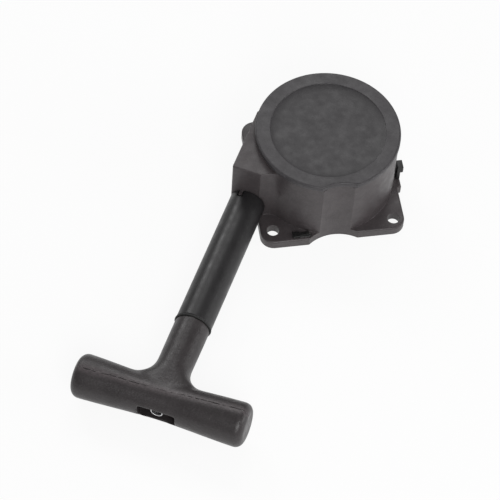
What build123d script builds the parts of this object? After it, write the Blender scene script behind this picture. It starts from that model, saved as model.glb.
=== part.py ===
from build123d import *

import os
from math import cos, hypot, radians, sin, sqrt, tan

# A pull starter for a small engine, in millimetres.
# The origin is on the crank axis at the engine's mounting face; +Z points away from the engine.
# The handle is pulled along -Y, on a line that stands clear of the crank axis.

# ---- pull line -------------------------------------------------------------------------------
PULL_OFFSET = 31.3         # crank axis to the pull line, sideways
ROPE_D = 3.0
ROPE_PASSAGE_GAP = 0.8     # round the rope where it runs through a bush or bore

# ---- fits ------------------------------------------------------------------------------------
RUNNING_GAP = 0.05         # shaft in its bore, on the radius
SLIP_GAP = 0.1             # pieces that push together by hand, on the radius
PART_GAP = 0.4             # faces that pass each other without touching

# ---- housing ---------------------------------------------------------------------------------
WALL = 2.4
REEL_ROOM = 3.9            # between the reel's edge and the drum's wall
ROOF = 2.6
ROOF_SPACE = 6.6           # between the spring cassette and the roof
SHELF_DROP = 2.0           # top face of the rope chute, below where the cover sits
OUTLET_SETBACK = 0.2       # the guide tube's seat, short of the drum's front
OUTLET_REACH = 6.2         # of the outlet's face, past the pull line on the crank's side
CHUTE_SLOPE_LENGTH = 16.4
CHUTE_SIDE_GAP = 0.2       # chute wall beyond the tube's side
CHUTE_FLOOR_Z = 2.0        # the chute stops short of the engine
CHUTE_BACK_Y = 2.0
CHUTE_BLEND_R = 8.0
OUTLET_EDGE_R = 1.0
SHELF_EDGE_R = 0.7

# ---- flange ----------------------------------------------------------------------------------
BOLT_ROOM = 8.583          # from the drum's outside to the bolt axes
SQUARE_TURN = 28.4         # the square is turned this far from the pull direction
BOLT_HOLE_R = 3.5
EDGE_LEFT = 1.6            # from the drum's outside to each side, in the square's own axes
EDGE_RIGHT = 0.7
EDGE_BACK = 2.7
EDGE_FRONT = 1.3
EDGE_FRONT_LEFT = 2.7      # the front stands further out on the left of the flute
FRONT_LEFT_END = -6.5
FLANGE_CORNER_R = 7.5
FLANGE_T = 5.6
FLANGE_EDGE_R = 1.0

# ---- flute down the wall -----------------------------------------------------------------------
FLUTE_TURN = SQUARE_TURN - 90
FLUTE_R = 23.0
FLUTE_DEPTH = 3.2
FLANGE_FLUTE_R = 31.0      # the same flute where it crosses the flange's edge
FLANGE_FLUTE_OUT = 0.8     # how far it stays outside the drum

# ---- cover -----------------------------------------------------------------------------------
COVER_OVERHANG = 0.6
COVER_EDGE_T = 2.8
COVER_EDGE_R = 1.2
COVER_LEDGE = 5.5          # from the drum's outside to the cover's spigot
RIM_WIDTH = 8.1
DISH_STEP = 0.35
DISH_SLOPE_WIDTH = 4.4
DISH_DEPTH = 1.1           # at the foot of its slope
DISH_HOLLOW = 0.6          # further fall to the centre
SHADOW_GAP = 0.5           # groove between the cover's edge and the wall
SHADOW_GAP_DEPTH = 1.0

# ---- centre post, its insert and the screw -----------------------------------------------------
POST_R = 6.0
INSERT_R = 3.6
INSERT_LENGTH = 12.0
SCREW_R = 2.5
SCREW_REACH = 10.5         # thread beyond the shoulder
SHOULDER_R = 4.6
SCREW_HEAD_ACROSS = 10.0
SCREW_HEAD_T = 2.6
WASHER_R = 8.5
WASHER_T = 0.8
RIB_COUNT = 6
RIB_T = 2.0
RIB_REACH = 26.0

# ---- spring cassette ---------------------------------------------------------------------------
CASSETTE_ROOM = 7.7        # between the cassette and the drum's wall
CASSETTE_WALL = 1.4
CASSETTE_FLOOR_T = 1.2
CASSETTE_SCREW_OUT = 3.0   # screw axes outside the cassette's wall
CASSETTE_SCREW_TURNS = (30.0, 150.0, 270.0)
CASSETTE_EAR_R = 3.6
CASSETTE_EAR_T = 2.0
CASSETTE_SCREW_R = 1.5
CASSETTE_SCREW_HEAD_R = 2.9
CASSETTE_SCREW_HEAD_T = 1.7
CASSETTE_SCREW_REACH = 4.6

# ---- recoil spring -----------------------------------------------------------------------------
STRIP_T = 0.6
STRIP_HEIGHT = 9.6
SPRING_PITCH = 1.7         # growth of the radius in one turn
SPRING_START_R = 10.9
SPRING_HOOK = 1.8          # ends of the strip, bent into the reel's hub and the cassette's wall

# ---- reel --------------------------------------------------------------------------------------
REEL_LIP = 0.4             # reel flange beyond the outermost rope
REEL_FLANGE_T = 1.6
ROPE_TURNS_WIDE = 3         # turns of rope side by side on the drum
DRUM_R = 21.8
DRUM_WALL = 2.0
REEL_HUB_R = 9.6
REEL_NOSE_R = 8.5
REEL_POCKET_DEPTH = 8.4
REEL_RIB_T = 1.6
REEL_RIB_TURNS = (45.0, 90.0, 135.0, 225.0, 270.0, 315.0)
KNOT_TURN = 112.0          # where the rope's inner end passes through the drum
KNOT_R = 2.7

# ---- pawls and what works them -----------------------------------------------------------------
PAWL_PIVOT_R = 14.4
PAWL_TURNS = (0.0, 180.0)
PAWL_T = 3.0
PAWL_EYE_R = 4.0
PAWL_TIP_R = 1.6
PAWL_ARM = 13.0
PAWL_FOLDED_LEAN = 110.0   # arm direction from the radius, folded away
PAWL_PEG_R = 1.2
PAWL_PEG_ARM = 7.5
PAWL_SWING = 35.0
PIN_R = 2.0
PIN_BOSS_R = 4.1
GUIDE_R = 20.8
GUIDE_T = 1.2
GUIDE_SWING = 25.0         # how far the guide lags the reel as the pawls come out
FRICTION_WIRE_D = 1.2
FRICTION_LEG_TURN = 60.0
FRICTION_ARC = 300.0
PAWL_WIRE_D = 0.5
PAWL_WIRE_TURNS = 3

# ---- guide tube, its spigot and bush -----------------------------------------------------------
TUBE_R = 10.0
TUBE_WALL = 2.4
TUBE_LENGTH = 86.1
TUBE_UNDER_Z = 5.0         # the tube's underside over the mounting face
TUBE_EDGE_R = 0.5
SPIGOT_LENGTH = 14.0
BUSH_WALL = 1.6
BUSH_COLLAR_LIP = 1.3
BUSH_COLLAR_T = 1.2
KEY_WIDTH = 1.8            # rib on the outlet face that stops the tube turning
KEY_LENGTH = 3.2
KEY_TURN = -66.0           # round the tube, from its outer side upwards
KEY_SIDE_GAP = 0.9         # the tube's notch beyond the key, on each side
KEY_END_GAP = 0.8
SEAT_RING_LIP = 0.4
SEAT_RING_T = 1.1

# ---- handle ------------------------------------------------------------------------------------
BAR_LENGTH = 95.5
BAR_SHIFT = 0.9            # the bar's middle from the pull line, towards the crank
HANDLE_ROLL = 2.3          # the handle has turned this far on its rope
STEM_LENGTH = 48.3         # from the seat to the bar's axis
BAR_WAIST_R = 10.5
BAR_END_R = 12.0
BAR_END_ROUND = 4.5
STEM_STEP = 0.3            # the stem is this much slimmer than the tube, on the radius
WEB_R = 11.0               # round of the stem into the bar, on each side
WEB_SECTIONS = 7
PLUG_LENGTH = 6.0
SLOT_LENGTH = 21.0
SLOT_HEIGHT = 9.4
SLOT_DEPTH = 8.5           # from the front of the bar's waist
SLOT_SHIFT = 1.5           # the slot's middle from the pull line, towards the crank
SLOT_DROP = 1.0            # and below the pull line
FERRULE_R = 3.3
FERRULE_WALL = 0.5
FERRULE_LENGTH = 8.8
FERRULE_STAND = 5.8        # how far it stands out of the slot's floor
ROPE_SIDE_GAP = 0.1        # the knot has drawn the ferrule over until the rope all but meets its wall
HANDLE_KNOT_R = 2.6

# ---- clips on the flange, placed in the square's own axes ----------------------------------------
CLIP_WIDTH = 4.0
CLIP_T = 2.0
CLIP_STEM_R = 1.3
CLIP_STEM_LENGTH = 5.0
SIDE_CLIP_OUT = 1.0        # beyond the flange's side
SIDE_CLIP_Y = -6.0
SIDE_CLIP_HEIGHT = 12.0
SIDE_HEAD_HEIGHT = 5.0
SIDE_PAD_Y = -6.0
SIDE_PAD_WIDTH = 15.0
SIDE_PAD_EDGE = 1.3        # flange beyond the side clip's stem
FRONT_CLIP_X = -22.5
FRONT_CLIP_IN = 3.1        # inside the flange's front
FRONT_WINDOW_LENGTH = 7.5
FRONT_WINDOW_WIDTH = 3.4
FRONT_TONGUE_REACH = 7.0
FRONT_TONGUE_T = 1.4

# ---- worked out from the above -----------------------------------------------------------------
PULL_X = -PULL_OFFSET
PULL_Z = TUBE_R + TUBE_UNDER_Z
ROPE_R = ROPE_D / 2
REEL_R = PULL_OFFSET + ROPE_R + REEL_LIP
BODY_R = REEL_R + REEL_ROOM + WALL
COVER_R = BODY_R + COVER_OVERHANG
COVER_SPIGOT_R = BODY_R - COVER_LEDGE
COVER_SPIGOT_T = SHELF_DROP - SLIP_GAP
DISH_R = COVER_R - RIM_WIDTH
FLUTE_CENTRE = COVER_R - FLUTE_DEPTH + FLUTE_R
FLANGE_FLUTE_CENTRE = BODY_R + FLANGE_FLUTE_OUT + FLANGE_FLUTE_R
BOLT_CIRCLE_R = BODY_R + BOLT_ROOM
FLANGE_LEFT = BODY_R + EDGE_LEFT
FLANGE_RIGHT = BODY_R + EDGE_RIGHT
FLANGE_BACK = BODY_R + EDGE_BACK
FLANGE_FRONT = BODY_R + EDGE_FRONT
FLANGE_FRONT_LEFT = BODY_R + EDGE_FRONT_LEFT
SIDE_CLIP_X = FLANGE_RIGHT + SIDE_CLIP_OUT
FRONT_CLIP_Y = FRONT_CLIP_IN - FLANGE_FRONT_LEFT
CHUTE_SIDE_X = PULL_X - TUBE_R - CHUTE_SIDE_GAP
OUTLET_EDGE_X = PULL_X + OUTLET_REACH
OUTLET_Y = OUTLET_SETBACK - BODY_R
TUBE_END_Y = OUTLET_Y - TUBE_LENGTH
ROPE_GROOVE_WIDTH = ROPE_TURNS_WIDE * ROPE_D + 2 * SLIP_GAP
GROOVE_LOW_Z = PULL_Z - ROPE_GROOVE_WIDTH / 2
GROOVE_HIGH_Z = PULL_Z + ROPE_GROOVE_WIDTH / 2
REEL_LOW_Z = GROOVE_LOW_Z - REEL_FLANGE_T
REEL_HIGH_Z = GROOVE_HIGH_Z + REEL_FLANGE_T
COIL_R = PULL_OFFSET - ROPE_R - SLIP_GAP
POCKET_R = DRUM_R - DRUM_WALL
CASSETTE_R = BODY_R - WALL - CASSETTE_ROOM
CASSETTE_SCREW_PITCH_R = CASSETTE_R + CASSETTE_SCREW_OUT
POCKET_TOP_Z = REEL_LOW_Z + REEL_POCKET_DEPTH
CASSETTE_FLOOR_Z = REEL_HIGH_Z + 2 * PART_GAP
SPRING_LOW_Z = CASSETTE_FLOOR_Z + CASSETTE_FLOOR_T + PART_GAP
SPRING_HIGH_Z = SPRING_LOW_Z + STRIP_HEIGHT
CASSETTE_TOP_Z = SPRING_HIGH_Z + 2 * PART_GAP
CEILING_Z = CASSETTE_TOP_Z + ROOF_SPACE
SHELF_Z = CEILING_Z + ROOF
RIM_TOP_Z = SHELF_Z + SHELF_DROP
COVER_TOP_Z = RIM_TOP_Z + COVER_EDGE_T
SPRING_STEP = SPRING_PITCH / 2
SPRING_ROOM = CASSETTE_R - CASSETTE_WALL - SLIP_GAP - STRIP_T / 2 - SPRING_STEP / 2 - SPRING_START_R
SPRING_HALF_TURNS = 2 * int(SPRING_ROOM / SPRING_PITCH + 0.5)
PAWL_TOP_Z = REEL_LOW_Z - PART_GAP
PAWL_LOW_Z = PAWL_TOP_Z - PAWL_T
GUIDE_TOP_Z = PAWL_LOW_Z - SLIP_GAP
GUIDE_Z = GUIDE_TOP_Z - GUIDE_T
REEL_NOSE_Z = GUIDE_TOP_Z + SLIP_GAP
FRICTION_R = REEL_NOSE_R + SLIP_GAP + FRICTION_WIRE_D / 2
ROPE_BORE_R = ROPE_R + ROPE_PASSAGE_GAP
BUSH_R = ROPE_BORE_R + BUSH_WALL
BUSH_COLLAR_R = BUSH_R + BUSH_COLLAR_LIP
TUBE_BORE_R = TUBE_R - TUBE_WALL
SPIGOT_R = TUBE_BORE_R - SLIP_GAP
OUTLET_INNER_Y = OUTLET_Y + WALL
SPIGOT_END_Y = OUTLET_Y - SPIGOT_LENGTH
SEAT_RING_R = TUBE_R + SEAT_RING_LIP
SEAT_END_Y = TUBE_END_Y - SEAT_RING_T
STEM_R = TUBE_R - STEM_STEP
BAR_Y = SEAT_END_Y - STEM_LENGTH
SLOT_FLOOR_Y = BAR_Y - BAR_WAIST_R + SLOT_DEPTH
FERRULE_SHIFT = FERRULE_R - FERRULE_WALL - ROPE_R - SLIP_GAP - ROPE_SIDE_GAP
FERRULE_MOUTH_Y = SLOT_FLOOR_Y - FERRULE_STAND
FERRULE_BACK_Y = FERRULE_MOUTH_Y + FERRULE_LENGTH
HANDLE_KNOT_Y = FERRULE_MOUTH_Y + HANDLE_KNOT_R


def turned(radius, turn, z=0.0):
    """A place at that radius and angle round the crank axis."""
    return Pos(radius * cos(radians(turn)), radius * sin(radians(turn)), z)


def disc(radius, low, high):
    """A cylinder about the crank axis between two heights."""
    return Pos(0, 0, low) * extrude(Circle(radius), high - low)


def on_pull_line(sketch, y_from, y_to):
    """A sketch drawn round the pull line, extruded along it; its x points outwards and its y down."""
    plane = Plane(origin=(PULL_X, y_from, PULL_Z), x_dir=(-1, 0, 0), z_dir=(0, -1, 0))
    return extrude(plane * sketch, y_from - y_to)


def flute(radius):
    """The round outline that cuts the flute."""
    return turned(FLUTE_CENTRE, FLUTE_TURN) * Circle(radius)


def wall_flute():
    """The flute down the wall, and its wider run across the flange's edge."""
    flange_cut = turned(FLANGE_FLUTE_CENTRE, FLUTE_TURN) * Circle(FLANGE_FLUTE_R)
    return extrude(flute(FLUTE_R), RIM_TOP_Z) + extrude(flange_cut, FLANGE_T)


def body_outline(inset=0.0):
    """The drum and the rope chute beside it, as seen from above; inset gives the inside of a wall."""
    slope = radians(SQUARE_TURN)
    radius = BODY_R - inset
    side_x = CHUTE_SIDE_X + inset
    front_y = OUTLET_Y + inset
    edge_x = OUTLET_EDGE_X - inset * tan(slope / 2)
    chute = Polygon(
        (side_x, front_y),
        (edge_x, front_y),
        (edge_x + CHUTE_SLOPE_LENGTH * cos(slope), front_y + CHUTE_SLOPE_LENGTH * sin(slope)),
        (PULL_X / 2, CHUTE_BACK_Y - inset),
        (side_x, CHUTE_BACK_Y - inset),
        align=None,
    )
    outline = Circle(radius) + chute
    meeting = [v for v in outline.vertices() if abs(hypot(v.X, v.Y) - radius) < 0.01]
    outline = fillet([v for v in meeting if v.Y < PULL_X / 2], CHUTE_BLEND_R + inset)
    if inset:
        return outline
    corners = [v for v in outline.vertices() if v.X < edge_x + 1 and v not in meeting]
    outer = [v for v in corners if abs(v.X - side_x) < 0.01 or abs(v.Y - front_y) < 0.01]
    return fillet(outer, OUTLET_EDGE_R)


def rounded(left, right, front, back):
    """A rectangle with the flange's corners, from its sides."""
    outline = RectangleRounded(right - left, back - front, FLANGE_CORNER_R)
    return Pos((left + right) / 2, (front + back) / 2) * outline


def flange_outline():
    """The square plate with its four ears, and the pad that carries the side clip."""
    outline = rounded(-FLANGE_LEFT, FLANGE_RIGHT, -FLANGE_FRONT, FLANGE_BACK)
    outline += rounded(-FLANGE_LEFT, FRONT_LEFT_END, -FLANGE_FRONT_LEFT, 0)
    reach = SIDE_CLIP_X + SIDE_PAD_EDGE
    pad = Pos(reach / 2, SIDE_PAD_Y) * Rectangle(reach, SIDE_PAD_WIDTH)
    outline += pad
    beside_pad = [v for v in outline.vertices() if abs(v.Y - SIDE_PAD_Y) < SIDE_PAD_WIDTH]
    steps = [v for v in beside_pad if v.X > FLANGE_RIGHT - 0.01]
    outline = fillet(steps, 0.45 * (reach - FLANGE_RIGHT))
    return Rot(0, 0, SQUARE_TURN) * outline


def housing():
    """Drum, chute, flange, outlet spigot and centre post, moulded in one."""
    outline = body_outline()
    body = Pos(0, 0, CHUTE_FLOOR_Z) * extrude(outline, SHELF_Z - CHUTE_FLOOR_Z)
    shelf_edges = body.edges().group_by(Axis.Z)[-1]
    body = fillet(shelf_edges, SHELF_EDGE_R)
    body += disc(BODY_R, 0, RIM_TOP_Z)
    plate = extrude(flange_outline(), FLANGE_T)
    plate = fillet(plate.edges().group_by(Axis.Z)[-1], FLANGE_EDGE_R)
    body += plate
    body -= wall_flute()
    cavity = body_outline(WALL) - flute(FLUTE_R + WALL)
    body -= extrude(cavity, CEILING_Z)
    body -= disc(COVER_SPIGOT_R + SLIP_GAP, SHELF_Z, RIM_TOP_Z)
    groove_z = RIM_TOP_Z - SHADOW_GAP
    body -= disc(COVER_R, groove_z, RIM_TOP_Z) - disc(BODY_R - SHADOW_GAP_DEPTH, groove_z, RIM_TOP_Z)
    body += rib_and_post()
    for turn in CASSETTE_SCREW_TURNS:
        body += cassette_boss(turn)
    body += on_pull_line(Circle(SPIGOT_R), OUTLET_INNER_Y, SPIGOT_END_Y)
    body += outlet_key(KEY_WIDTH, KEY_LENGTH)
    body -= on_pull_line(Circle(BUSH_R + SLIP_GAP / 2), 0, SPIGOT_END_Y)
    for corner in range(4):
        hole = turned(BOLT_CIRCLE_R, SQUARE_TURN + 45 + 90 * corner) * Circle(BOLT_HOLE_R)
        body -= extrude(hole, FLANGE_T)
    body -= clip_cuts()
    return body


def rib_and_post():
    """The post that the reel turns on, with ribs that stiffen the roof round it."""
    post = disc(POST_R, REEL_NOSE_Z, CEILING_Z)
    for k in range(RIB_COUNT):
        rib = Pos(RIB_REACH / 2, 0) * Rectangle(RIB_REACH, RIB_T)
        rib = Rot(0, 0, 360 / RIB_COUNT * (k + 0.5)) * rib
        post += Pos(0, 0, CASSETTE_TOP_Z) * extrude(rib, CEILING_Z - CASSETTE_TOP_Z)
    return post - disc(INSERT_R + SLIP_GAP / 2, REEL_NOSE_Z, REEL_NOSE_Z + INSERT_LENGTH)


def cassette_boss(turn):
    """A post from the roof that takes one cassette screw."""
    boss = turned(CASSETTE_SCREW_PITCH_R, turn, CASSETTE_TOP_Z) * extrude(
        Circle(CASSETTE_EAR_R), CEILING_Z - CASSETTE_TOP_Z
    )
    hole = turned(CASSETTE_SCREW_PITCH_R, turn, CASSETTE_TOP_Z) * extrude(
        Circle(CASSETTE_SCREW_R + RUNNING_GAP), CASSETTE_SCREW_REACH + PART_GAP
    )
    return boss - hole


def outlet_key(width, length):
    """The rib on the outlet face, in the tube's wall; also the shape of the tube's notch."""
    middle = TUBE_R - TUBE_WALL / 2
    rib = Rot(0, 0, KEY_TURN) * Pos(middle, 0) * Rectangle(TUBE_WALL - SLIP_GAP, width)
    return on_pull_line(rib, OUTLET_Y, OUTLET_Y - length)


def top_cover():
    """The round cover: a flat rim about a shallow dish, with a spigot that locates it."""
    cover = Pos(0, 0, RIM_TOP_Z) * extrude(Circle(COVER_R) - flute(FLUTE_R), COVER_EDGE_T)
    cover = fillet(cover.edges().group_by(Axis.Z)[-1], COVER_EDGE_R)
    cover += disc(COVER_SPIGOT_R, RIM_TOP_Z - COVER_SPIGOT_T, RIM_TOP_Z)
    foot_r = DISH_R - DISH_SLOPE_WIDTH
    foot_z = COVER_TOP_Z - DISH_DEPTH
    ball_r = (foot_r**2 + DISH_HOLLOW**2) / (2 * DISH_HOLLOW)
    low = ThreePointArc(
        (0, foot_z - DISH_HOLLOW),
        (foot_r / 2, foot_z - DISH_HOLLOW + ball_r - sqrt(ball_r**2 - foot_r**2 / 4)),
        (foot_r, foot_z),
    )
    edge = (DISH_R, COVER_TOP_Z - DISH_STEP)
    slope = Spline((foot_r, foot_z), edge, tangents=((1, 0.05), (1, 0.3)))
    sides = Polyline(edge, (DISH_R, COVER_TOP_Z), (0, COVER_TOP_Z), (0, foot_z - DISH_HOLLOW))
    dish = revolve(Plane.XZ * make_face(low + slope + sides), Axis.Z)
    return cover - dish


def rope_bush():
    """The steel bush that the rope runs through, with its collar inside the housing."""
    collar_y = OUTLET_INNER_Y + BUSH_COLLAR_T
    bush = on_pull_line(Circle(BUSH_R), OUTLET_INNER_Y, SPIGOT_END_Y)
    bush += on_pull_line(Circle(BUSH_COLLAR_R), collar_y, OUTLET_INNER_Y)
    bush -= on_pull_line(Circle(ROPE_BORE_R), collar_y, SPIGOT_END_Y)
    rounds = bush.edges().filter_by(GeomType.CIRCLE)
    return fillet([e for e in rounds if abs(e.radius - ROPE_BORE_R) < 0.01], 0.5 * BUSH_COLLAR_T)


def guide_tube():
    """The long tube that carries the rope out to the handle."""
    tube = on_pull_line(Circle(TUBE_R) - Circle(TUBE_BORE_R), OUTLET_Y, TUBE_END_Y)
    rounds = tube.edges().filter_by(GeomType.CIRCLE)
    tube = fillet([e for e in rounds if abs(e.radius - TUBE_R) < 0.01], TUBE_EDGE_R)
    middle = TUBE_R - TUBE_WALL / 2
    notch = Rot(0, 0, KEY_TURN) * Pos(middle, 0) * Rectangle(2 * TUBE_WALL, KEY_WIDTH + 2 * KEY_SIDE_GAP)
    return tube - on_pull_line(notch, OUTLET_Y, OUTLET_Y - KEY_LENGTH - KEY_END_GAP)


def seat_ring():
    """The rubber ring that the handle closes against."""
    ring = on_pull_line(Circle(SEAT_RING_R) - Circle(TUBE_BORE_R + SLIP_GAP), TUBE_END_Y, SEAT_END_Y)
    edges = [e for e in ring.edges() if e.geom_type == GeomType.CIRCLE and e.radius > TUBE_R]
    return fillet(edges, 0.4 * SEAT_RING_T)


def post_insert():
    """The threaded brass insert in the end of the post."""
    insert = disc(INSERT_R, REEL_NOSE_Z, REEL_NOSE_Z + INSERT_LENGTH)
    return insert - disc(SCREW_R + RUNNING_GAP, REEL_NOSE_Z, REEL_NOSE_Z + INSERT_LENGTH)


def reel_screw():
    """The shouldered hexagon screw that keeps the reel on its post."""
    head_z = GUIDE_Z - WASHER_T - SLIP_GAP
    screw = disc(SHOULDER_R, head_z, REEL_NOSE_Z) + disc(SCREW_R, REEL_NOSE_Z, REEL_NOSE_Z + SCREW_REACH)
    head = RegularPolygon(SCREW_HEAD_ACROSS / 2, 6, major_radius=False)
    screw += Pos(0, 0, head_z - SCREW_HEAD_T) * extrude(head, SCREW_HEAD_T)
    return chamfer(screw.edges().group_by(Axis.Z)[0], 0.4)


def reel_washer():
    """The washer between the screw's head and the pawl guide."""
    high = GUIDE_Z - SLIP_GAP
    return disc(WASHER_R, high - WASHER_T, high) - disc(SHOULDER_R + SLIP_GAP, high - WASHER_T, high)


def spring_cassette():
    """The open cup that holds the recoil spring, screwed up under the roof."""
    cup = disc(CASSETTE_R, CASSETTE_FLOOR_Z, CASSETTE_TOP_Z)
    ear_edge = 2 * CASSETTE_EAR_R
    for turn in CASSETTE_SCREW_TURNS:
        ear = Pos(CASSETTE_SCREW_PITCH_R, 0) * Circle(CASSETTE_EAR_R)
        ear += Pos(CASSETTE_SCREW_PITCH_R / 2, 0) * Rectangle(CASSETTE_SCREW_PITCH_R, ear_edge)
        low = CASSETTE_TOP_Z - CASSETTE_EAR_T
        cup += Pos(0, 0, low) * extrude(Rot(0, 0, turn) * ear, CASSETTE_EAR_T)
        cup -= turned(CASSETTE_SCREW_PITCH_R, turn, low) * extrude(
            Circle(CASSETTE_SCREW_R + SLIP_GAP), CASSETTE_EAR_T
        )
    cup -= disc(CASSETTE_R - CASSETTE_WALL, CASSETTE_FLOOR_Z + CASSETTE_FLOOR_T, CASSETTE_TOP_Z)
    cup -= hook_slot(CASSETTE_R - CASSETTE_WALL / 2, -STRIP_T / 2, SPRING_LOW_Z - PART_GAP, CASSETTE_TOP_Z)
    return cup - disc(REEL_HUB_R + 2 * PART_GAP, CASSETTE_FLOOR_Z, CASSETTE_TOP_Z)


def cassette_screws():
    """The three screws of the cassette, as one group."""
    ear_low = CASSETTE_TOP_Z - CASSETTE_EAR_T
    head = Pos(0, 0, ear_low - CASSETTE_SCREW_HEAD_T) * extrude(
        Circle(CASSETTE_SCREW_HEAD_R), CASSETTE_SCREW_HEAD_T
    )
    head = fillet(head.edges().group_by(Axis.Z)[0], 0.8)
    shank = Pos(0, 0, ear_low) * extrude(Circle(CASSETTE_SCREW_R), CASSETTE_EAR_T + CASSETTE_SCREW_REACH)
    drive = Pos(0, 0, ear_low - CASSETTE_SCREW_HEAD_T) * extrude(
        Rectangle(3.0, 0.8) + Rectangle(0.8, 3.0), 0.9
    )
    screw = head + shank - drive
    return [turned(CASSETTE_SCREW_PITCH_R, turn) * screw for turn in CASSETTE_SCREW_TURNS]


def recoil_spring():
    """The flat spiral spring: semicircles about two centres that meet in line, hooked at both ends."""
    outer, inner = [], []
    for k in range(SPRING_HALF_TURNS):
        side = 1 if k % 2 == 0 else -1
        centre = (-side * SPRING_STEP / 2, 0)
        radius = SPRING_START_R + k * SPRING_STEP
        start = 0 if side > 0 else 180
        outer.append(CenterArc(centre, radius + STRIP_T / 2, start, 180))
        inner.append(CenterArc(centre, radius - STRIP_T / 2, start, 180))
    head = Line(inner[0] @ 0, outer[0] @ 0)
    tail = Line(outer[-1] @ 1, inner[-1] @ 1)
    strip = make_face(Wire([head, *outer, tail, *inner]))
    strip += strip_hook((inner[0] @ 0).X, SPRING_HOOK / 2, -1)
    strip += strip_hook((outer[-1] @ 1).X, SPRING_HOOK / 2, 1)
    return Pos(0, 0, SPRING_LOW_Z) * extrude(strip, STRIP_HEIGHT)


def strip_hook(x, reach, side):
    """An end of the strip, bent square to it: inwards for side -1, outwards for side 1."""
    middle = x + side * (reach - STRIP_T / 2)
    return Pos(middle, -side * STRIP_T / 2) * Rectangle(2 * reach + STRIP_T, STRIP_T)


def reel():
    """The rope reel, with its spring hub above and its pawl pocket below."""
    drum = disc(REEL_R, REEL_LOW_Z, REEL_HIGH_Z)
    drum -= disc(REEL_R + 1, GROOVE_LOW_Z, GROOVE_HIGH_Z) - disc(DRUM_R, GROOVE_LOW_Z, GROOVE_HIGH_Z)
    drum -= disc(POCKET_R, REEL_LOW_Z, POCKET_TOP_Z) - disc(REEL_NOSE_R, REEL_LOW_Z, POCKET_TOP_Z)
    drum += disc(REEL_NOSE_R, REEL_NOSE_Z, REEL_LOW_Z)
    for turn in REEL_RIB_TURNS:
        reach = (REEL_NOSE_R + POCKET_R) / 2
        rib = Pos(reach, 0) * Rectangle(POCKET_R - REEL_NOSE_R + 1, REEL_RIB_T)
        drum += Pos(0, 0, REEL_LOW_Z + 1) * extrude(Rot(0, 0, turn) * rib, REEL_POCKET_DEPTH - 1)
    for turn in PAWL_TURNS:
        drum += turned(PAWL_PIVOT_R, turn, REEL_LOW_Z) * extrude(Circle(PIN_BOSS_R), REEL_POCKET_DEPTH)
        drum -= turned(PAWL_PIVOT_R, turn, REEL_LOW_Z) * extrude(Circle(PIN_R + 0.01), REEL_POCKET_DEPTH)
    drum += disc(REEL_HUB_R, REEL_HIGH_Z, SPRING_HIGH_Z)
    drum -= hook_slot(REEL_HUB_R, STRIP_T / 2, SPRING_LOW_Z - PART_GAP, SPRING_HIGH_Z)
    drum -= disc(POST_R + RUNNING_GAP, REEL_NOSE_Z, SPRING_HIGH_Z)
    return drum - rope_hole(ROPE_R + SLIP_GAP)


def hook_slot(x, y, low, high):
    """A slot across a wall at that place, for one hooked end of the spring."""
    slot = Rectangle(2 * SPRING_HOOK + PART_GAP, STRIP_T + 2 * PART_GAP)
    return Pos(x, y, low) * extrude(slot, high - low)


def rope_hole(radius):
    """A radial run through the drum wall, where the rope's inner end goes to its knot."""
    outwards = Vector(1, 0, 0).rotate(Axis.Z, KNOT_TURN)
    start = outwards * (POCKET_R - 1) + Vector(0, 0, PULL_Z - 1)
    return extrude(Plane(origin=start, z_dir=outwards) * Circle(radius), DRUM_WALL + 2)


def rope_coil():
    """The rope that is wound on the drum, with the stub that runs to its knot."""
    coil = disc(COIL_R, GROOVE_LOW_Z + SLIP_GAP, GROOVE_HIGH_Z - SLIP_GAP)
    for k in range(ROPE_TURNS_WIDE + 1):
        z = PULL_Z + (k - ROPE_TURNS_WIDE / 2) * ROPE_D
        coil -= Pos(0, 0, z) * Torus(COIL_R + ROPE_R / 4, ROPE_R / 2)
    coil -= disc(DRUM_R + 0.02, GROOVE_LOW_Z, GROOVE_HIGH_Z)
    return coil + rope_hole(ROPE_R)


def knot(radius, rope_radius):
    """A stopper knot: a loop of rope pulled tight round its core."""
    return Torus(radius - rope_radius, rope_radius) + Sphere(radius - 0.5 * rope_radius)


def reel_knot():
    """The knot that holds the rope's inner end, in the reel's pocket."""
    place = turned(POCKET_R - KNOT_R - 1, KNOT_TURN, PULL_Z - 1)
    return place * knot(KNOT_R, 0.75 * ROPE_R)


def pawl(turn):
    """A steel pawl, folded in, with the peg that the guide steers it by."""
    lean = radians(PAWL_FOLDED_LEAN)
    tip = (PAWL_ARM * cos(lean), PAWL_ARM * sin(lean))
    peg = (PAWL_PEG_ARM * cos(lean), PAWL_PEG_ARM * sin(lean))
    arm = make_hull([*Circle(PAWL_EYE_R).edges(), *(Pos(*tip) * Circle(PAWL_TIP_R)).edges()])
    bite = Pos(*tip) * Rot(0, 0, PAWL_FOLDED_LEAN) * Pos(PAWL_TIP_R + 0.6, -0.5) * Rectangle(2, 6)
    peg_reach = GUIDE_T + 2 * SLIP_GAP
    body = extrude(arm - bite, PAWL_T)
    body += Pos(*peg, -peg_reach) * extrude(Circle(PAWL_PEG_R), peg_reach + SLIP_GAP)
    body -= extrude(Circle(PIN_R + RUNNING_GAP), PAWL_T)
    return Rot(0, 0, turn) * Pos(PAWL_PIVOT_R, 0, PAWL_LOW_Z) * body


def pawl_pins():
    """The two pins that the pawls swing on, as one group."""
    low = PAWL_LOW_Z - 0.1
    pin = Pos(0, 0, low) * extrude(Circle(PIN_R), POCKET_TOP_Z - low)
    return [turned(PAWL_PIVOT_R, turn) * pin for turn in PAWL_TURNS]


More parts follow.
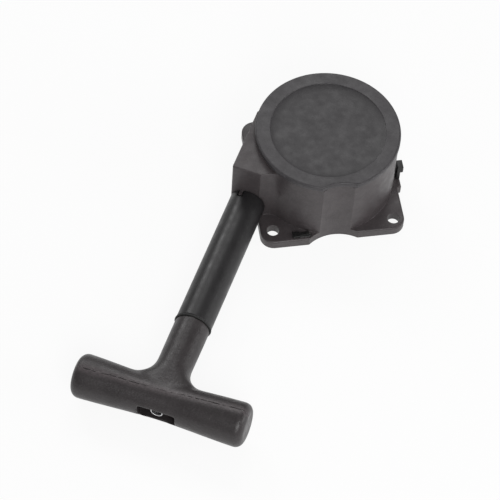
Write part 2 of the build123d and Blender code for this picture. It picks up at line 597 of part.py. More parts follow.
def pawl_spring(turn):
    """The wire spring round a pin boss that folds the pawl in, with a leg up into the pocket."""
    wire_r = PAWL_WIRE_D / 2
    coil_r = PIN_BOSS_R + SLIP_GAP + wire_r
    pitch = PAWL_WIRE_D + SLIP_GAP
    low = PAWL_TOP_Z + SLIP_GAP + wire_r
    path = Helix(pitch, pitch * PAWL_WIRE_TURNS, coil_r)
    coil = sweep(Plane(origin=path @ 0, z_dir=path % 0) * Circle(wire_r), path=path)
    leg_low = pitch * PAWL_WIRE_TURNS
    leg = Pos(coil_r, 0, leg_low) * extrude(Circle(wire_r), POCKET_TOP_Z - low - leg_low)
    return Rot(0, 0, turn) * Pos(PAWL_PIVOT_R, 0, low) * (coil + leg)


def peg_place(swing):
    """Where a pawl's peg lies on the guide when the guide lags by that part of its swing."""
    lean = radians(PAWL_FOLDED_LEAN - swing * PAWL_SWING)
    x = PAWL_PIVOT_R + PAWL_PEG_ARM * cos(lean)
    y = PAWL_PEG_ARM * sin(lean)
    return Vector(x, y).rotate(Axis.Z, swing * GUIDE_SWING)


def pawl_guide():
    """The plate that lags behind the reel and drives the pawls out by their pegs."""
    plate = disc(GUIDE_R, GUIDE_Z, GUIDE_TOP_Z) - disc(SHOULDER_R + SLIP_GAP, GUIDE_Z, GUIDE_TOP_Z)
    track = ThreePointArc(peg_place(0), peg_place(0.5), peg_place(1))
    slot = extrude(SlotArc(track, 2 * (PAWL_PEG_R + PART_GAP / 2)), GUIDE_T)
    for turn in PAWL_TURNS:
        plate -= Rot(0, 0, turn) * Pos(0, 0, GUIDE_Z) * slot
    hole = extrude(Circle(FRICTION_WIRE_D / 2 + RUNNING_GAP), GUIDE_T)
    return plate - turned(FRICTION_R, FRICTION_LEG_TURN, GUIDE_Z) * hole


def friction_spring():
    """The open wire ring that grips the reel's nose, with a leg down into the guide."""
    wire_r = FRICTION_WIRE_D / 2
    z = (REEL_NOSE_Z + REEL_LOW_Z) / 2
    path = CenterArc((0, 0), FRICTION_R, FRICTION_LEG_TURN, FRICTION_ARC)
    ring = sweep(Plane(origin=path @ 0, z_dir=path % 0) * Circle(wire_r), path=path)
    leg = extrude(Circle(wire_r), z - GUIDE_Z)
    return Pos(0, 0, z) * ring + turned(FRICTION_R, FRICTION_LEG_TURN, GUIDE_Z) * leg


def bar_profile():
    """Half the handle bar's outline, from its axis: waisted, with rounded ends."""
    half = BAR_LENGTH / 2
    corner = BAR_END_ROUND
    shoulder = half - corner
    outline = [
        Line((0, 0), (0, BAR_WAIST_R)),
        Spline((0, BAR_WAIST_R), (shoulder, BAR_END_R), tangents=((1, 0), (1, 0.02))),
    ]
    edge = ThreePointArc(
        (shoulder, BAR_END_R),
        (shoulder + corner * sin(radians(45)), BAR_END_R - corner * (1 - cos(radians(45)))),
        (half, BAR_END_R - corner),
    )
    outline += [edge, Line((half, BAR_END_R - corner), (half, 0)), Line((half, 0), (0, 0))]
    return make_face(Wire(outline))


def stem():
    """The handle's stem, and its widening into the bar, lofted through ellipses."""
    web_y = BAR_Y + BAR_WAIST_R + WEB_R
    sections = []
    for k in range(WEB_SECTIONS):
        t = sin(radians(80) * k / (WEB_SECTIONS - 1))
        half_width = STEM_R + WEB_R * (1 - sqrt(1 - t**2))
        plane = Plane(origin=(PULL_X, web_y - WEB_R * t, PULL_Z), x_dir=(-1, 0, 0), z_dir=(0, -1, 0))
        sections.append(plane * Ellipse(half_width, STEM_R))
    root_y = web_y - WEB_R * sin(radians(80))
    root = on_pull_line(Ellipse(STEM_R + WEB_R * (1 - cos(radians(80))), STEM_R), root_y, BAR_Y)
    return on_pull_line(Circle(STEM_R), SEAT_END_Y, web_y) + loft(sections) + root


def handle():
    """The T-handle: bar, flared stem and the plug that enters the tube, with the knot's slot."""
    half = revolve(bar_profile(), Axis.X, 360)
    grip = Pos(PULL_X + BAR_SHIFT, BAR_Y, PULL_Z) * (half + mirror(half, Plane.YZ))
    grip += stem()
    grip += on_pull_line(Circle(TUBE_BORE_R - SLIP_GAP), SEAT_END_Y + PLUG_LENGTH, SEAT_END_Y)
    slot = Pos(-SLOT_SHIFT, SLOT_DROP) * Rectangle(SLOT_LENGTH, SLOT_HEIGHT)
    grip -= on_pull_line(slot, SLOT_FLOOR_Y, BAR_Y - 2 * BAR_END_R)
    grip -= on_pull_line(beside(Circle(FERRULE_R + SLIP_GAP / 2)), FERRULE_BACK_Y, SLOT_FLOOR_Y)
    grip -= on_pull_line(Circle(ROPE_BORE_R), SEAT_END_Y + PLUG_LENGTH, FERRULE_BACK_Y)
    return rolled(grip)


def rolled(shape):
    """A piece of the handle, turned on the rope."""
    pull_line = Axis((PULL_X, 0, PULL_Z), (0, -1, 0))
    return shape.rotate(pull_line, HANDLE_ROLL)


def beside(sketch):
    """A sketch moved off the pull line to where the ferrule lies."""
    return Pos(-FERRULE_SHIFT, 0) * sketch


def handle_ferrule():
    """The steel cup at the rope's end, which holds the knot."""
    room = Circle(FERRULE_R - FERRULE_WALL)
    cup = on_pull_line(beside(Circle(FERRULE_R)), FERRULE_BACK_Y, FERRULE_MOUTH_Y)
    cup -= on_pull_line(beside(room), FERRULE_BACK_Y - FERRULE_WALL, FERRULE_MOUTH_Y)
    cup -= on_pull_line(Circle(ROPE_R + SLIP_GAP), FERRULE_BACK_Y, FERRULE_BACK_Y - FERRULE_WALL)
    return rolled(cup)


def handle_knot():
    """The knot in the ferrule's mouth."""
    place = Pos(PULL_X + FERRULE_SHIFT, HANDLE_KNOT_Y, PULL_Z)
    return rolled(place * Rot(90, 0, 0) * knot(HANDLE_KNOT_R, 0.7 * ROPE_R))


def rope_lead():
    """The straight rope from the reel, through bush, tube and stem, to the handle's knot."""
    return on_pull_line(Circle(ROPE_R), -0.5 * ROPE_R, HANDLE_KNOT_Y + HANDLE_KNOT_R)


def on_flange(x, y, z=FLANGE_T):
    """A place on the flange, in the square's own axes."""
    return Rot(0, 0, SQUARE_TURN) * Pos(x, y, z)


def clip_stem():
    """The round stem of a clip, pushed into the flange from above."""
    return Pos(0, 0, -CLIP_STEM_LENGTH) * extrude(Circle(CLIP_STEM_R), CLIP_STEM_LENGTH)


def clip_cuts():
    """The stem holes, and the window in the flange under the front clip."""
    hole = Pos(0, 0, -FLANGE_T) * extrude(Circle(CLIP_STEM_R + SLIP_GAP / 2), FLANGE_T)
    window = Pos(0, 0, -FLANGE_T) * extrude(Rectangle(FRONT_WINDOW_LENGTH, FRONT_WINDOW_WIDTH), FLANGE_T)
    window_x = FRONT_CLIP_X + CLIP_STEM_R + PART_GAP + FRONT_WINDOW_LENGTH / 2
    cuts = on_flange(SIDE_CLIP_X, SIDE_CLIP_Y) * hole
    cuts += on_flange(FRONT_CLIP_X, FRONT_CLIP_Y) * hole
    return cuts + on_flange(window_x, FRONT_CLIP_Y) * window


def side_clip():
    """The upright hook beside the drum, which holds a wire that runs past the starter."""
    post = extrude(Rectangle(CLIP_T, CLIP_WIDTH), SIDE_CLIP_HEIGHT)
    head = Pos(CLIP_T / 3, 0, SIDE_CLIP_HEIGHT - SIDE_HEAD_HEIGHT) * extrude(
        Rectangle(5 / 3 * CLIP_T, CLIP_WIDTH + 1), SIDE_HEAD_HEIGHT
    )
    head = fillet(head.edges().filter_by(Axis.Y), 0.3 * CLIP_T)
    return on_flange(SIDE_CLIP_X, SIDE_CLIP_Y) * (clip_stem() + post + head)


def front_clip():
    """The low hook at the front: a tongue that lies over a window in the flange, with a raised tip."""
    foot = Pos(CLIP_STEM_R / 2, 0) * Rectangle(3 * CLIP_STEM_R, FRONT_WINDOW_WIDTH)
    clip = clip_stem() + extrude(foot, FRONT_TONGUE_T)
    tongue = Pos(FRONT_TONGUE_REACH / 2, 0) * Rectangle(FRONT_TONGUE_REACH, CLIP_T)
    clip += extrude(tongue, FRONT_TONGUE_T)
    tip = Pos(FRONT_TONGUE_REACH, 0, 0) * extrude(Circle(CLIP_T / 2), 1.6 * FRONT_TONGUE_T)
    return on_flange(FRONT_CLIP_X, FRONT_CLIP_Y) * (clip + tip)


PARTS = {
    "housing": housing,
    "top_cover": top_cover,
    "rope_bush": rope_bush,
    "guide_tube": guide_tube,
    "seat_ring": seat_ring,
    "post_insert": post_insert,
    "reel_screw": reel_screw,
    "reel_washer": reel_washer,
    "spring_cassette": spring_cassette,
    "cassette_screws": cassette_screws,
    "recoil_spring": recoil_spring,
    "reel": reel,
    "rope_coil": rope_coil,
    "reel_knot": reel_knot,
    "pawl_pins": pawl_pins,
    "pawl_guide": pawl_guide,
    "friction_spring": friction_spring,
    "pawl_a": lambda: pawl(PAWL_TURNS[0]),
    "pawl_b": lambda: pawl(PAWL_TURNS[1]),
    "pawl_spring_a": lambda: pawl_spring(PAWL_TURNS[0]),
    "pawl_spring_b": lambda: pawl_spring(PAWL_TURNS[1]),
    "handle": handle,
    "handle_ferrule": handle_ferrule,
    "handle_knot": handle_knot,
    "rope_lead": rope_lead,
    "side_clip": side_clip,
    "front_clip": front_clip,
}

os.makedirs("parts", exist_ok=True)
for name, make in PARTS.items():
    made = make()
    shape = Compound(children=list(made)) if isinstance(made, list) else made
    export_step(shape, f"parts/{name}.step")
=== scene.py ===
"""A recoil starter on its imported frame: plastics, steels, braided rope, a pale floor and soft light."""

from math import cos, hypot, pi, radians, sin, tau

import bpy
from mathutils import Matrix, Vector

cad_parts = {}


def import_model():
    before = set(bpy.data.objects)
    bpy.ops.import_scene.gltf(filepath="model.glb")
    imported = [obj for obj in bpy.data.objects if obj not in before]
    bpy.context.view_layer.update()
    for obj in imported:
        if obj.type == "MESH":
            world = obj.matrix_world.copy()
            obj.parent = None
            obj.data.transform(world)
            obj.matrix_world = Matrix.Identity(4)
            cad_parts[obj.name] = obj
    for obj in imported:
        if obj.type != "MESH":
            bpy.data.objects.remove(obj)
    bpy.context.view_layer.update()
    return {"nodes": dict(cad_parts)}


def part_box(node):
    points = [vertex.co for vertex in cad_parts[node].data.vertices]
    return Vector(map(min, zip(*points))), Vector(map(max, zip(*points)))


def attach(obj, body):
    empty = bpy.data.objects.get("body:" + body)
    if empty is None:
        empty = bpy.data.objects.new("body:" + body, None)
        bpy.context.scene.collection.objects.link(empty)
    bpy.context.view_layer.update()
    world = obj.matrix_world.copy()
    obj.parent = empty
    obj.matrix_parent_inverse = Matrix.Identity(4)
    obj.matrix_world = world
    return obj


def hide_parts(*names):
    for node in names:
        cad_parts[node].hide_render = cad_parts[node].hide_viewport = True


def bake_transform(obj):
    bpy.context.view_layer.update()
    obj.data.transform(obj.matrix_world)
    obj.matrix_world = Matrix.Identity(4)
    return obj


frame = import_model()
NODES = frame["nodes"]

# ---- the photograph's viewpoint -----------------------------------------------------------------
CAMERA_TURN = radians(16.33)
CAMERA_TILT = radians(55.85)
CAMERA_ROLL = radians(4.15)
CAMERA_LENS = 163.95
CAMERA_DISTANCE = 1.2348
CAMERA_AIM = Vector((-0.01841, -0.07240, 0.020))

# ---- the pull line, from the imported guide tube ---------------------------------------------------
TUBE_LOW, TUBE_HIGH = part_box("guide_tube")
PULL_X = (TUBE_LOW.x + TUBE_HIGH.x) / 2
PULL_Z = (TUBE_LOW.z + TUBE_HIGH.z) / 2
HANDLE_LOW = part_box("handle")[0]
BAR_R = 0.012
BAR_Y = HANDLE_LOW.y + BAR_R

# ---- plastics: tints, and the sizes of their marks -----------------------------------------------
PLAIN = (1, 1, 1)
WARM = (1.11, 0.95, 0.99)     # the faint purple-brown of sun-aged black plastic
COOL = (1.03, 0.96, 1.03)
EDGE_SOFTNESS = 0.0004
DRIFT_SIZE = 0.014            # slow changes of colour
SHEEN_SIZE = 0.005            # patches that shine more or less
MOTTLE_SIZE = 0.0022
SPECK_SIZE = 0.0005
MOTTLE_PALER = 1.5            # each mark's level, against the plastic's own
SPECK_PALER = 1.9
# the pale edges are partly rubbed wear and partly painted highlight
EDGE_WEAR_AND_HIGHLIGHT = 2.6

# ---- the mould line along the top of the handle's bar, with a painted highlight band by it -------
LINE_WIDTH = 0.00035
LINE_WANDER = 0.0016
LINE_SLOPE = 0.05
LINE_RIDGE = 3.0
HIGHLIGHT_BAND_WIDTH = 9 * LINE_WIDTH
HIGHLIGHT_BAND_STRENGTH = 0.8
HIGHLIGHT_BAND_LEVEL = 0.14
LINE_LEVEL = 0.012

# ---- the cover's dish, inside its flat rim, with painted shade -----------------------------------
COVER_LOW, COVER_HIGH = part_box("top_cover")
RIM_WIDTH = 0.0081
DISH_R = (COVER_HIGH.x - COVER_LOW.x) / 2 - RIM_WIDTH
DISH_FADE = 0.0006
DISH_SHADE_STRENGTH = 0.32        # how far the painted shade takes its colour towards black
DISH_SHADE_LEVEL = 0.006
DISH_GRAIN = 0.4        # how much of the rim's grain it keeps

# ---- metals, rubber and rope ---------------------------------------------------------------------
METAL_EDGE_SOFTNESS = 0.0002
METAL_STAIN_SIZE = 0.004
METAL_STAIN_DARKER = 0.72
METAL_EDGE_PALER = 1.25
METAL_GRAIN = 0.0003
METAL_GRAIN_DEPTH = 0.000008
BRAID_STRANDS = 8
BRAID_LAY = 0.0034      # the length of rope in which a strand goes once round
BRAID_DEPTH = 0.00025
FLUFF_SIZE = 0.0003
KNOT_STEPS = 96
KNOT_SIDES = 12
ROPE_STEP = 0.001
ROPE_SIDES = 20

# ---- the web between the handle's stem and bar ---------------------------------------------------
HANDLE_VOXEL = 0.0006
WEB_PASSES = 90
WEB_START = 0.004       # the smoothing begins this far behind the bar's axis
WEB_CORE = 0.006        # nothing is smoothed this near the rope's bore
WEB_FADE = 0.002
WEB_REACH_X = 0.034
WEB_REACH_Y = 0.040

# ---- floor and light -----------------------------------------------------------------------------
FLOOR_SIZE = 6.0
FLOOR_Z = -0.0002
FLOOR_GLOW = 0.9        # how far the camera sees the floor as plain white paper
WORLD_LIGHT = 0.3


# ---- node helpers --------------------------------------------------------------------------------
class Nodes:
    """A material's node tree, with a method for each kind of node that the finishes use."""

    def __init__(self, name):
        self.material = bpy.data.materials.new(name)
        self.material.use_nodes = True
        self.tree = self.material.node_tree
        self.tree.nodes.clear()
        self.output = self.add("ShaderNodeOutputMaterial")

    def add(self, kind, **inputs):
        node = self.tree.nodes.new(kind)
        for key, value in inputs.items():
            self.put(node, key, value)
        return node

    def put(self, node, key, value):
        """Sets an input by name or number; a socket is linked and anything else is its value."""
        socket = node.inputs[key]
        if isinstance(value, bpy.types.NodeSocket):
            self.tree.links.new(value, socket)
        else:
            socket.default_value = value

    def position(self):
        return self.add("ShaderNodeTexCoord").outputs["Object"]

    def noise(self, size, detail=2.0, rough=0.5):
        """Noise whose blotches are about that size, in metres."""
        node = self.add("ShaderNodeTexNoise", Scale=1 / size, Detail=detail, Roughness=rough)
        self.put(node, "Vector", self.position())
        return node.outputs["Fac"]

    def math(self, operation, a, b=0.0, clamp=False):
        node = self.add("ShaderNodeMath")
        node.operation = operation
        node.use_clamp = clamp
        self.put(node, 0, a)
        self.put(node, 1, b)
        return node.outputs[0]

    def spread(self, value, low, high, from_low=0.0, from_high=1.0):
        """Maps a value from its own range to low and high."""
        ends = {"From Min": from_low, "From Max": from_high, "To Min": low, "To Max": high}
        node = self.add("ShaderNodeMapRange", Value=value, **ends)
        return node.outputs[0]

    def blend(self, factor, a, b):
        """A colour mix of a and b."""
        node = self.add("ShaderNodeMix")
        node.data_type = "RGBA"
        self.put(node, 0, factor)
        self.put(node, 6, a)
        self.put(node, 7, b)
        return node.outputs[2]

    def bump(self, height, depth, normal=None):
        node = self.add("ShaderNodeBump", Height=height, Distance=depth, Strength=1.0)
        if normal is not None:
            self.put(node, "Normal", normal)
        return node.outputs[0]

    def soft_edges(self, radius):
        """A normal that rounds the sharp edges by that radius, and how near an edge a point is."""
        node = self.add("ShaderNodeBevel", Radius=radius)
        node.samples = 6
        flat = self.add("ShaderNodeNewGeometry").outputs["Normal"]
        dot = self.add("ShaderNodeVectorMath")
        dot.operation = "DOT_PRODUCT"
        self.put(dot, 0, node.outputs[0])
        self.put(dot, 1, flat)
        return node.outputs[0], self.math("SUBTRACT", 1.0, dot.outputs["Value"], clamp=True)

    def surface(self, **inputs):
        shader = self.add("ShaderNodeBsdfPrincipled", **inputs)
        self.tree.links.new(shader.outputs[0], self.output.inputs[0])
        return self.material


def shade(level, tint=PLAIN):
    """A near-neutral colour with that tint."""
    return (level * tint[0], level * tint[1], level * tint[2], 1)


def moulded(name, level, roughness, grain=0.0007, depth=0.00006, tint=WARM, contrast=0.12, extra=None):
    """Injection-moulded plastic: spark-eroded grain, slow colour drift, dust, and pale edges that are partly
    rubbed wear and partly painted highlight.

    extra is a function that adds one piece's own marks to the colour and the height, such as a painted
    highlight or painted shade.
    """
    n = Nodes(name)
    normal, near_edge = n.soft_edges(EDGE_SOFTNESS)
    drift = n.noise(DRIFT_SIZE, detail=4)
    mottle = n.noise(MOTTLE_SIZE, detail=3)
    speck = n.noise(SPECK_SIZE, detail=1)
    low = shade(level * (1 - contrast), tint)
    high = shade(level * (1 + contrast), tint)
    colour = n.blend(n.spread(drift, 0, 1, 0.3, 0.7), low, high)
    colour = n.blend(n.spread(mottle, 0, 0.35, 0.4, 0.7), colour, shade(level * MOTTLE_PALER, tint))
    colour = n.blend(n.spread(speck, 0, 0.5, 0.5, 0.75), colour, shade(level * SPECK_PALER, tint))
    # pale edges: partly rubbed wear, partly painted highlight
    colour = n.blend(n.spread(near_edge, 0, 0.6, 0.04, 0.4), colour, shade(level * EDGE_WEAR_AND_HIGHLIGHT, tint))
    sheen = n.noise(SHEEN_SIZE, detail=4)
    height = n.math("ADD", n.noise(grain, detail=2, rough=0.6), n.math("MULTIPLY", mottle, 0.8))
    if extra is not None:
        colour, height = extra(n, colour, height)
    return n.surface(**{
        "Base Color": colour,
        "Roughness": n.spread(sheen, roughness - 0.06, roughness + 0.08, 0.3, 0.7),
        "Normal": n.bump(height, depth, normal=normal),
        "IOR": 1.47,
    })


def parting_line_and_highlight(n, colour, height):
    """The handle's mould line: a thin broken ridge along the top of the bar, with a patchy painted highlight
    band by it.
    """
    split = n.add("ShaderNodeSeparateXYZ", Vector=n.position())
    path = n.math("MULTIPLY", n.math("SUBTRACT", split.outputs[0], PULL_X), LINE_SLOPE)
    wander = n.math("MULTIPLY", n.math("SUBTRACT", n.noise(0.01), 0.5), LINE_WANDER)
    across = n.math("SUBTRACT", n.math("SUBTRACT", split.outputs[1], BAR_Y), n.math("ADD", path, wander))
    upper = n.spread(split.outputs[2], 0, 1, PULL_Z + 0.6 * BAR_R, PULL_Z + 0.75 * BAR_R)
    on_line = n.spread(n.math("ABSOLUTE", across), 1, 0, 0, LINE_WIDTH)
    broken = n.spread(n.noise(0.003, detail=3), 0, 1, 0.42, 0.55)
    ridge = n.math("MULTIPLY", n.math("MULTIPLY", on_line, upper), broken)
    # painted highlight: a pale patchy band along the top of the bar, beside the mould line
    near_line = n.spread(n.math("ABSOLUTE", across), HIGHLIGHT_BAND_STRENGTH, 0, 0, HIGHLIGHT_BAND_WIDTH)
    highlight_band = n.math("MULTIPLY", near_line, upper)
    patchy_highlight = n.math("MULTIPLY", highlight_band, n.noise(0.0015, detail=4))
    colour = n.blend(patchy_highlight, colour, shade(HIGHLIGHT_BAND_LEVEL, WARM))
    height = n.math("ADD", height, n.math("MULTIPLY", ridge, LINE_RIDGE))
    return n.blend(ridge, colour, shade(LINE_LEVEL, WARM)), height


def dish_with_painted_shade(n, colour, height):
    """The cover's dish has finer grain than the rim round it, and its colour is darkened as painted shade in
    the recess.
    """
    split = n.add("ShaderNodeSeparateXYZ", Vector=n.position())
    across = n.math("MULTIPLY", split.outputs[0], split.outputs[0])
    along = n.math("MULTIPLY", split.outputs[1], split.outputs[1])
    reach = n.math("SQRT", n.math("ADD", across, along))
    inside = n.spread(reach, 1, 0, DISH_R - DISH_FADE, DISH_R)
    # painted shade: the dish's colour goes darker inside the rim
    colour = n.blend(n.math("MULTIPLY", inside, DISH_SHADE_STRENGTH), colour, shade(DISH_SHADE_LEVEL, COOL))
    return colour, n.math("MULTIPLY", height, n.spread(inside, 1.0, DISH_GRAIN))


def metal(name, colour, roughness):
    """Plated or oiled steel or brass: drawn grain, stains and a little wear at the edges."""
    n = Nodes(name)
    normal, near_edge = n.soft_edges(METAL_EDGE_SOFTNESS)
    stain = n.noise(METAL_STAIN_SIZE, detail=5)
    dark = tuple(c * METAL_STAIN_DARKER for c in colour) + (1,)
    pale = tuple(min(1, c * METAL_EDGE_PALER) for c in colour) + (1,)
    stained = n.blend(n.spread(stain, 0, 1, 0.35, 0.7), colour + (1,), dark)
    worn = n.blend(n.spread(near_edge, 0, 0.6, 0.05, 0.5), stained, pale)
    sheen = n.noise(0.002, detail=4)
    return n.surface(**{
        "Base Color": worn,
        "Metallic": 1.0,
        "Roughness": n.spread(sheen, roughness - 0.08, roughness + 0.12, 0.3, 0.7),
        "Normal": n.bump(n.noise(METAL_GRAIN, detail=3), METAL_GRAIN_DEPTH, normal=normal),
    })


def rubber(name):
    """Matt black rubber."""
    n = Nodes(name)
    colour = n.blend(n.noise(0.001, detail=4), shade(0.01), shade(0.025))
    return n.surface(**{
        "Base Color": colour,
        "Roughness": n.spread(n.noise(0.003), 0.6, 0.8),
        "Normal": n.bump(n.noise(0.0004), 0.00002),
    })


def braided(name, axis_x=0.0, axis_z=0.0):
    """Braided cord along Y: crossing strands round the cord's axis, with painted shade dark in the crevices
    between strands and paler high points.
    """
    n = Nodes(name)
    split = n.add("ShaderNodeSeparateXYZ", Vector=n.position())
    across = n.math("SUBTRACT", split.outputs[0], axis_x)
    up = n.math("SUBTRACT", split.outputs[2], axis_z)
    turn = n.math("MULTIPLY", n.math("ARCTAN2", up, across), BRAID_STRANDS / 2)
    along = n.math("MULTIPLY", split.outputs[1], tau / BRAID_LAY)
    left = n.math("SINE", n.math("ADD", along, turn))
    right = n.math("SINE", n.math("SUBTRACT", along, turn))
    height = n.math("MAXIMUM", left, right)
    fluff = n.noise(FLUFF_SIZE, detail=4)
    # painted shade: the colour goes dark down in the crevices between strands and paler on their high points
    colour = n.blend(n.spread(height, 0, 1, -0.4, 1), shade(0.012), shade(0.06))
    colour = n.blend(n.math("MULTIPLY", fluff, 0.3), colour, shade(0.12))
    return n.surface(**{
        "Base Color": colour,
        "Roughness": n.spread(fluff, 0.75, 0.95),
        "Normal": n.bump(n.math("ADD", height, fluff), BRAID_DEPTH),
    })


def wear_all(materials):
    """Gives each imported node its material."""
    for name, material in materials.items():
        slots = NODES[name].data.materials
        slots.clear()
        slots.append(material)


def floor():
    """A pale floor that the camera sees as white paper, with the object's shadow on it."""
    bpy.ops.mesh.primitive_plane_add(size=FLOOR_SIZE, location=(0, 0, FLOOR_Z))
    plane = bpy.context.object
    plane.name = "floor"
    n = Nodes("pale_floor")
    path = n.add("ShaderNodeLightPath")
    seen = n.math("MAXIMUM", path.outputs["Is Camera Ray"], path.outputs["Is Glossy Ray"])
    tone = n.blend(n.noise(0.3, detail=2), shade(0.86), shade(0.9))
    matt = n.add("ShaderNodeBsdfDiffuse", Color=tone)
    glow = n.add("ShaderNodeEmission", Color=(1, 1, 1, 1), Strength=1.0)
    mix = n.add("ShaderNodeMixShader", Fac=n.math("MULTIPLY", seen, FLOOR_GLOW))
    n.tree.links.new(matt.outputs[0], mix.inputs[1])
    n.tree.links.new(glow.outputs[0], mix.inputs[2])
    n.tree.links.new(mix.outputs[0], n.output.inputs[0])
    plane.data.materials.append(n.material)


def softbox(name, place, aim, size, watts):
    """A square area lamp of that size at a place, turned to its aim."""
    lamp = bpy.data.lights.new(name, "AREA")
    lamp.shape = "SQUARE"
    lamp.size = size
    lamp.energy = watts
    body = bpy.data.objects.new(name, lamp)
    bpy.context.scene.collection.objects.link(body)
    body.location = place
    body.rotation_euler = (Vector(aim) - Vector(place)).to_track_quat("-Z", "Y").to_euler()


def world(strength):
    """Even light from all round, behind which the camera sees plain white."""
    made = bpy.data.worlds.new("studio")
    bpy.context.scene.world = made
    made.use_nodes = True
    tree = made.node_tree
    tree.nodes.clear()
    output = tree.nodes.new("ShaderNodeOutputWorld")
    path = tree.nodes.new("ShaderNodeLightPath")
    mix = tree.nodes.new("ShaderNodeMixShader")
    tree.links.new(path.outputs["Is Camera Ray"], mix.inputs[0])
    for socket, level in ((1, strength), (2, 1.0)):
        white = tree.nodes.new("ShaderNodeBackground")
        white.inputs[0].default_value = (1, 1, 1, 1)
        white.inputs[1].default_value = level
        tree.links.new(white.outputs[0], mix.inputs[socket])
    tree.links.new(mix.outputs[0], output.inputs[0])


def camera():
    """The photograph's camera, looking at CAMERA_AIM."""
    made = bpy.data.cameras.new("camera")
    made.lens = CAMERA_LENS
    made.clip_end = 20
    body = bpy.data.objects.new("camera", made)
    bpy.context.scene.collection.objects.link(body)
    turn = Matrix.Rotation(CAMERA_TURN, 4, "Z")
    tilt = Matrix.Rotation(pi / 2 - CAMERA_TILT, 4, "X")
    roll = Matrix.Rotation(CAMERA_ROLL, 4, "Z")
    facing = turn @ tilt @ roll
    body.matrix_world = Matrix.Translation(CAMERA_AIM + facing.col[2].xyz * CAMERA_DISTANCE) @ facing
    bpy.context.scene.camera = body


# ---- pieces made here ------------------------------------------------------------------------------
def mesh_piece(name, points, faces, material):
    """A smooth-shaded mesh object from its points and faces."""
    mesh = bpy.data.meshes.new(name)
    mesh.from_pydata(points, [], faces)
    mesh.shade_smooth()
    mesh.materials.append(material)
    piece = bpy.data.objects.new(name, mesh)
    bpy.context.scene.collection.objects.link(piece)
    return piece


def tube(name, centres, radius, sides, material, closed=False):
    """A round tube through the centres; closed joins its last ring to its first."""
    count = len(centres)
    points, faces = [], []
    side_way = Vector((0, 0, 1))
    for i, centre in enumerate(centres):
        ahead = centres[(i + 1) % count] if closed or i + 1 < count else centre
        behind = centres[i - 1] if closed or i else centre
        along = (ahead - behind).normalized()
        side_way = (side_way - along * side_way.dot(along)).normalized()
        other = along.cross(side_way)
        for k in range(sides):
            turn = tau * k / sides
            points.append(centre + radius * (cos(turn) * side_way + sin(turn) * other))
    rings = count if closed else count - 1
    for i in range(rings):
        here, there = i * sides, (i + 1) % count * sides
        for k in range(sides):
            after = (k + 1) % sides
            faces.append((here + k, there + k, there + after, here + after))
    if not closed:
        faces.append(tuple(range(sides)))
        faces.append(tuple(reversed(range((count - 1) * sides, count * sides))))
    return mesh_piece(name, points, faces, material)


def tied_knot(name, node, radius, cord_r, material, body, axis):
    """A stopper knot in place of a CAD knot: one cord that winds through itself three times."""
    low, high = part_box(node)
    centre = (low + high) / 2
    scale = (radius - cord_r) / 3
    facing = Vector(axis).to_track_quat("Z", "X").to_matrix()
    centres = []
    for i in range(KNOT_STEPS):
        t = tau * i / KNOT_STEPS
        place = Vector((sin(t) + 2 * sin(2 * t), cos(t) - 2 * cos(2 * t), -1.1 * sin(3 * t))) * scale
        centres.append(centre + facing @ place)
    piece = tube(name, centres, cord_r, KNOT_SIDES, material, closed=True)
    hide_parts(node)
    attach(piece, body)


def smooth_handle(material):
    """The handle with its stem blended into the bar, as it is moulded, instead of meeting it at a crease."""
    source = NODES["handle"]
    piece = bpy.data.objects.new("handle_grip", source.data.copy())
    bpy.context.scene.collection.objects.link(piece)
    remesh = piece.modifiers.new("even", "REMESH")
    remesh.mode = "VOXEL"
    remesh.voxel_size = HANDLE_VOXEL
    apply_modifiers(piece)
    soften = piece.vertex_groups.new(name="web")
    for vertex in piece.data.vertices:
        soften.add([vertex.index], web_weight(vertex.co), "REPLACE")
    smooth = piece.modifiers.new("web", "SMOOTH")
    smooth.factor = 0.5
    smooth.iterations = WEB_PASSES
    smooth.vertex_group = "web"
    apply_modifiers(piece)
    piece.data.materials.clear()
    piece.data.materials.append(material)
    piece.data.shade_smooth()
    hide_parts("handle")
    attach(piece, "handle")


def apply_modifiers(piece):
    """Bakes a piece's modifiers into its mesh."""
    bpy.context.view_layer.update()
    graph = bpy.context.evaluated_depsgraph_get()
    made = bpy.data.meshes.new_from_object(piece.evaluated_get(graph))
    piece.modifiers.clear()
    piece.data = made


def web_weight(place):
    """How much a point of the handle is smoothed: fully where the stem's sides run into the bar."""
    from_line = hypot(place.x - PULL_X, place.z - PULL_Z)
    beyond = place.y - (BAR_Y - WEB_START)
    if from_line < WEB_CORE or beyond < 0:
        return 0.0
    side = abs(place.x - PULL_X)
    near = min(1.0, (from_line - WEB_CORE) / WEB_FADE, beyond / WEB_FADE)
    return near * fade(side, WEB_REACH_X) * fade(place.y - BAR_Y, WEB_REACH_Y)


def fade(value, reach):
    """1 up to half the reach, then down to 0 at the reach."""
    return max(0.0, min(1.0, 2 - 2 * value / reach))


def rope():
    """The braided rope: a straight tube along the pull line, over the length of the imported rope lead."""
    low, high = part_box("rope_lead")
    radius = (high.x - low.x) / 2
    steps = int((high.y - low.y) / ROPE_STEP)
    centres = [Vector((PULL_X, high.y + (low.y - high.y) * i / steps, PULL_Z)) for i in range(steps + 1)]
    piece = tube("pull_rope", centres, radius, ROPE_SIDES, braided("braided_rope", PULL_X, PULL_Z))
    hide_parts("rope_lead")
    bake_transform(piece)


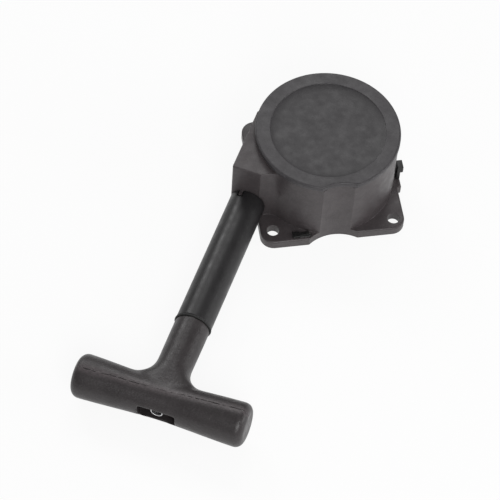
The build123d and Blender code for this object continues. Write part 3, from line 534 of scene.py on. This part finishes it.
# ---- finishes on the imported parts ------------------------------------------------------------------
SHELL = moulded("shell_plastic", 0.044, 0.42)
COVER = moulded("cover_plastic", 0.040, 0.46, depth=0.00008, tint=COOL, extra=dish_with_painted_shade)
TUBE = moulded("tube_plastic", 0.011, 0.4, grain=0.0009, depth=0.00004, tint=COOL)
GRIP = moulded("grip_plastic", 0.025, 0.38, grain=0.001, depth=0.00013, contrast=0.2, extra=parting_line_and_highlight)
CLIP = moulded("clip_plastic", 0.008, 0.4, tint=PLAIN)
INNER = moulded("inner_plastic", 0.02, 0.5, tint=PLAIN)
STEEL = metal("plated_steel", (0.72, 0.72, 0.73), 0.3)
DARK_STEEL = metal("oiled_steel", (0.3, 0.3, 0.31), 0.4)
BLUE_STEEL = metal("spring_steel", (0.18, 0.19, 0.22), 0.3)
BRASS = metal("turned_brass", (0.72, 0.52, 0.25), 0.3)
RUBBER = rubber("seal_rubber")
ROPE = braided("coiled_rope")

wear_all({
    "housing": SHELL,
    "top_cover": COVER,
    "rope_bush": DARK_STEEL,
    "guide_tube": TUBE,
    "seat_ring": RUBBER,
    "post_insert": BRASS,
    "reel_screw": STEEL,
    "reel_washer": STEEL,
    "spring_cassette": INNER,
    "cassette_screws": STEEL,
    "recoil_spring": BLUE_STEEL,
    "side_clip": CLIP,
    "front_clip": CLIP,
    "reel": INNER,
    "rope_coil": ROPE,
    "reel_knot": ROPE,
    "pawl_pins": STEEL,
    "pawl_spring_a": BLUE_STEEL,
    "pawl_spring_b": BLUE_STEEL,
    "pawl_guide": DARK_STEEL,
    "friction_spring": BLUE_STEEL,
    "pawl_a": DARK_STEEL,
    "pawl_b": DARK_STEEL,
    "handle": GRIP,
    "handle_ferrule": STEEL,
    "handle_knot": ROPE,
    "rope_lead": ROPE,
})

smooth_handle(GRIP)
rope()
tied_knot("ferrule_knot", "handle_knot", 0.0026, 0.00095, ROPE, "handle", (0, -1, 0))
tied_knot("drum_knot", "reel_knot", 0.0027, 0.001, ROPE, "reel", (0, 0, 1))

floor()
camera()
world(WORLD_LIGHT)
softbox("front", (0.5, -1.0, 0.9), (-0.02, -0.06, 0), 0.7, 9.5)
softbox("right", (1.1, 0.1, 0.4), (0.02, 0, 0.02), 0.5, 4)
softbox("back", (-0.25, 1.0, 1.2), (-0.02, -0.06, 0), 0.6, 4.5)
softbox("left", (-0.78, 0.6, 0.75), (-0.03, -0.1, 0), 0.35, 3)
bpy.context.scene.view_settings.view_transform = "Standard"
